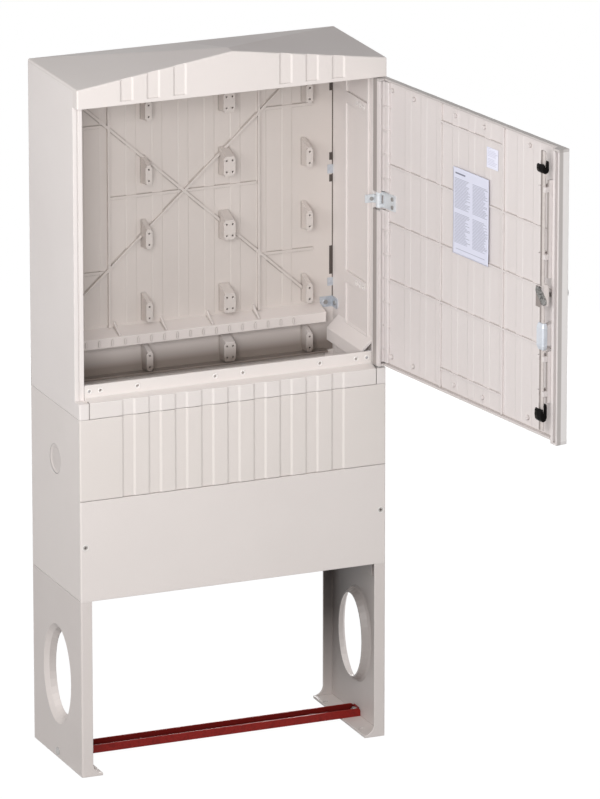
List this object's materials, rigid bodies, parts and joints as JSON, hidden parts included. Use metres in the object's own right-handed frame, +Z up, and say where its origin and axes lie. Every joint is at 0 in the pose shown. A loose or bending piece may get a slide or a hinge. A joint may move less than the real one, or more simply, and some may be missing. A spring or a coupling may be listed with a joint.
{
  "type": "outdoor cable distribution cabinet",
  "caption": "Free-standing moulded outdoor cabinet for cable distribution, with gabled roof, fluted faces, a door with rod lock standing open, and a burial plinth on legs with an anchor bar.",
  "frame": {"origin": "ground level at the middle of the four foot bolt holes", "axes": "+X to the right seen from the front, +Y to the back, +Z up"},
  "size_m": [0.9372, 1.0667, 1.75],
  "materials": {
    "moulded_grp": "satin moulding",
    "back_grp": "matt moulding",
    "door_grp": "satin moulding",
    "bright_steel": "plated",
    "zinc_plate": "zinc plated",
    "cast_zinc": "satin grey",
    "red_primer": "matt primer",
    "black_nylon": "satin",
    "paper": "printed paper"
  },
  "bodies": {
    "cabinet": {"left_leg": "moulded_grp", "right_leg": "moulded_grp", "leg_screws": "bright_steel", "anchor_bar": "red_primer", "anchor_bolts": "bright_steel", "anchor_nuts": "bright_steel", "plinth_left_side": "moulded_grp", "plinth_right_side": "moulded_grp", "plinth_front_upper": "moulded_grp", "plinth_front_lower": "moulded_grp", "plinth_back_upper": "moulded_grp", "plinth_back_lower": "moulded_grp", "panel_screws": "bright_steel", "left_wall": "moulded_grp", "right_wall": "moulded_grp", "front_sill": "moulded_grp", "rear_sill": "moulded_grp", "back_wall": "back_grp", "corner_clamps": "zinc_plate", "clamp_screws": "bright_steel", "roof": "moulded_grp", "upper_hinge_pin": "bright_steel", "lower_hinge_pin": "bright_steel", "middle_hinge_bracket": "zinc_plate", "middle_hinge_pin": "bright_steel", "bracket_screw": "bright_steel"},
    "door": {"door_leaf": "door_grp", "middle_hinge_strap": "zinc_plate", "strap_screws": "bright_steel", "instruction_sheet": "paper", "door_label": "paper", "rod_guides": "door_grp", "handle_base": "cast_zinc", "base_screws": "bright_steel", "lock_cylinder": "bright_steel", "cylinder_housing": "cast_zinc"},
    "handle": {"spindle": "bright_steel", "lock_cam": "zinc_plate", "cam_screw": "bright_steel", "lever_pin": "bright_steel"},
    "lever": {"handle_lever": "cast_zinc"},
    "upper_rod_body": {"upper_rod": "zinc_plate", "upper_rod_glide": "black_nylon"},
    "lower_rod_body": {"lower_rod": "zinc_plate", "lower_rod_glide": "black_nylon"}
  },
  "joints": [
    {"name": "door_swing", "type": "hinge", "parent": "cabinet", "child": "door", "pos_m": [0.3785, -0.146, 1.292], "axis": [0, 0, 1], "range_deg": [-100, 20]},
    {"name": "handle_turn", "type": "hinge", "parent": "door", "child": "handle", "pos_m": [0.505, -0.86343, 1.292], "axis": [-0.9848, -0.1736, 0], "range_deg": [0, 90]},
    {"name": "lever_lift", "type": "hinge", "parent": "handle", "child": "lever", "pos_m": [0.53287, -0.85852, 1.292], "axis": [0, 0, -1], "range_deg": [0, 40]},
    {"name": "upper_rod_slide", "type": "slide", "parent": "door", "child": "upper_rod_body", "axis": [0, 0, 1], "range_m": [0, 0.0227]},
    {"name": "lower_rod_slide", "type": "slide", "parent": "door", "child": "lower_rod_body", "axis": [0, 0, -1], "range_m": [0, 0.0227]}
  ],
  "couplings": [
    {"joint": "upper_rod_slide", "follows": "handle_turn", "m_per_rad": 0.014405},
    {"joint": "lower_rod_slide", "follows": "handle_turn", "m_per_rad": 0.014405}
  ]
}
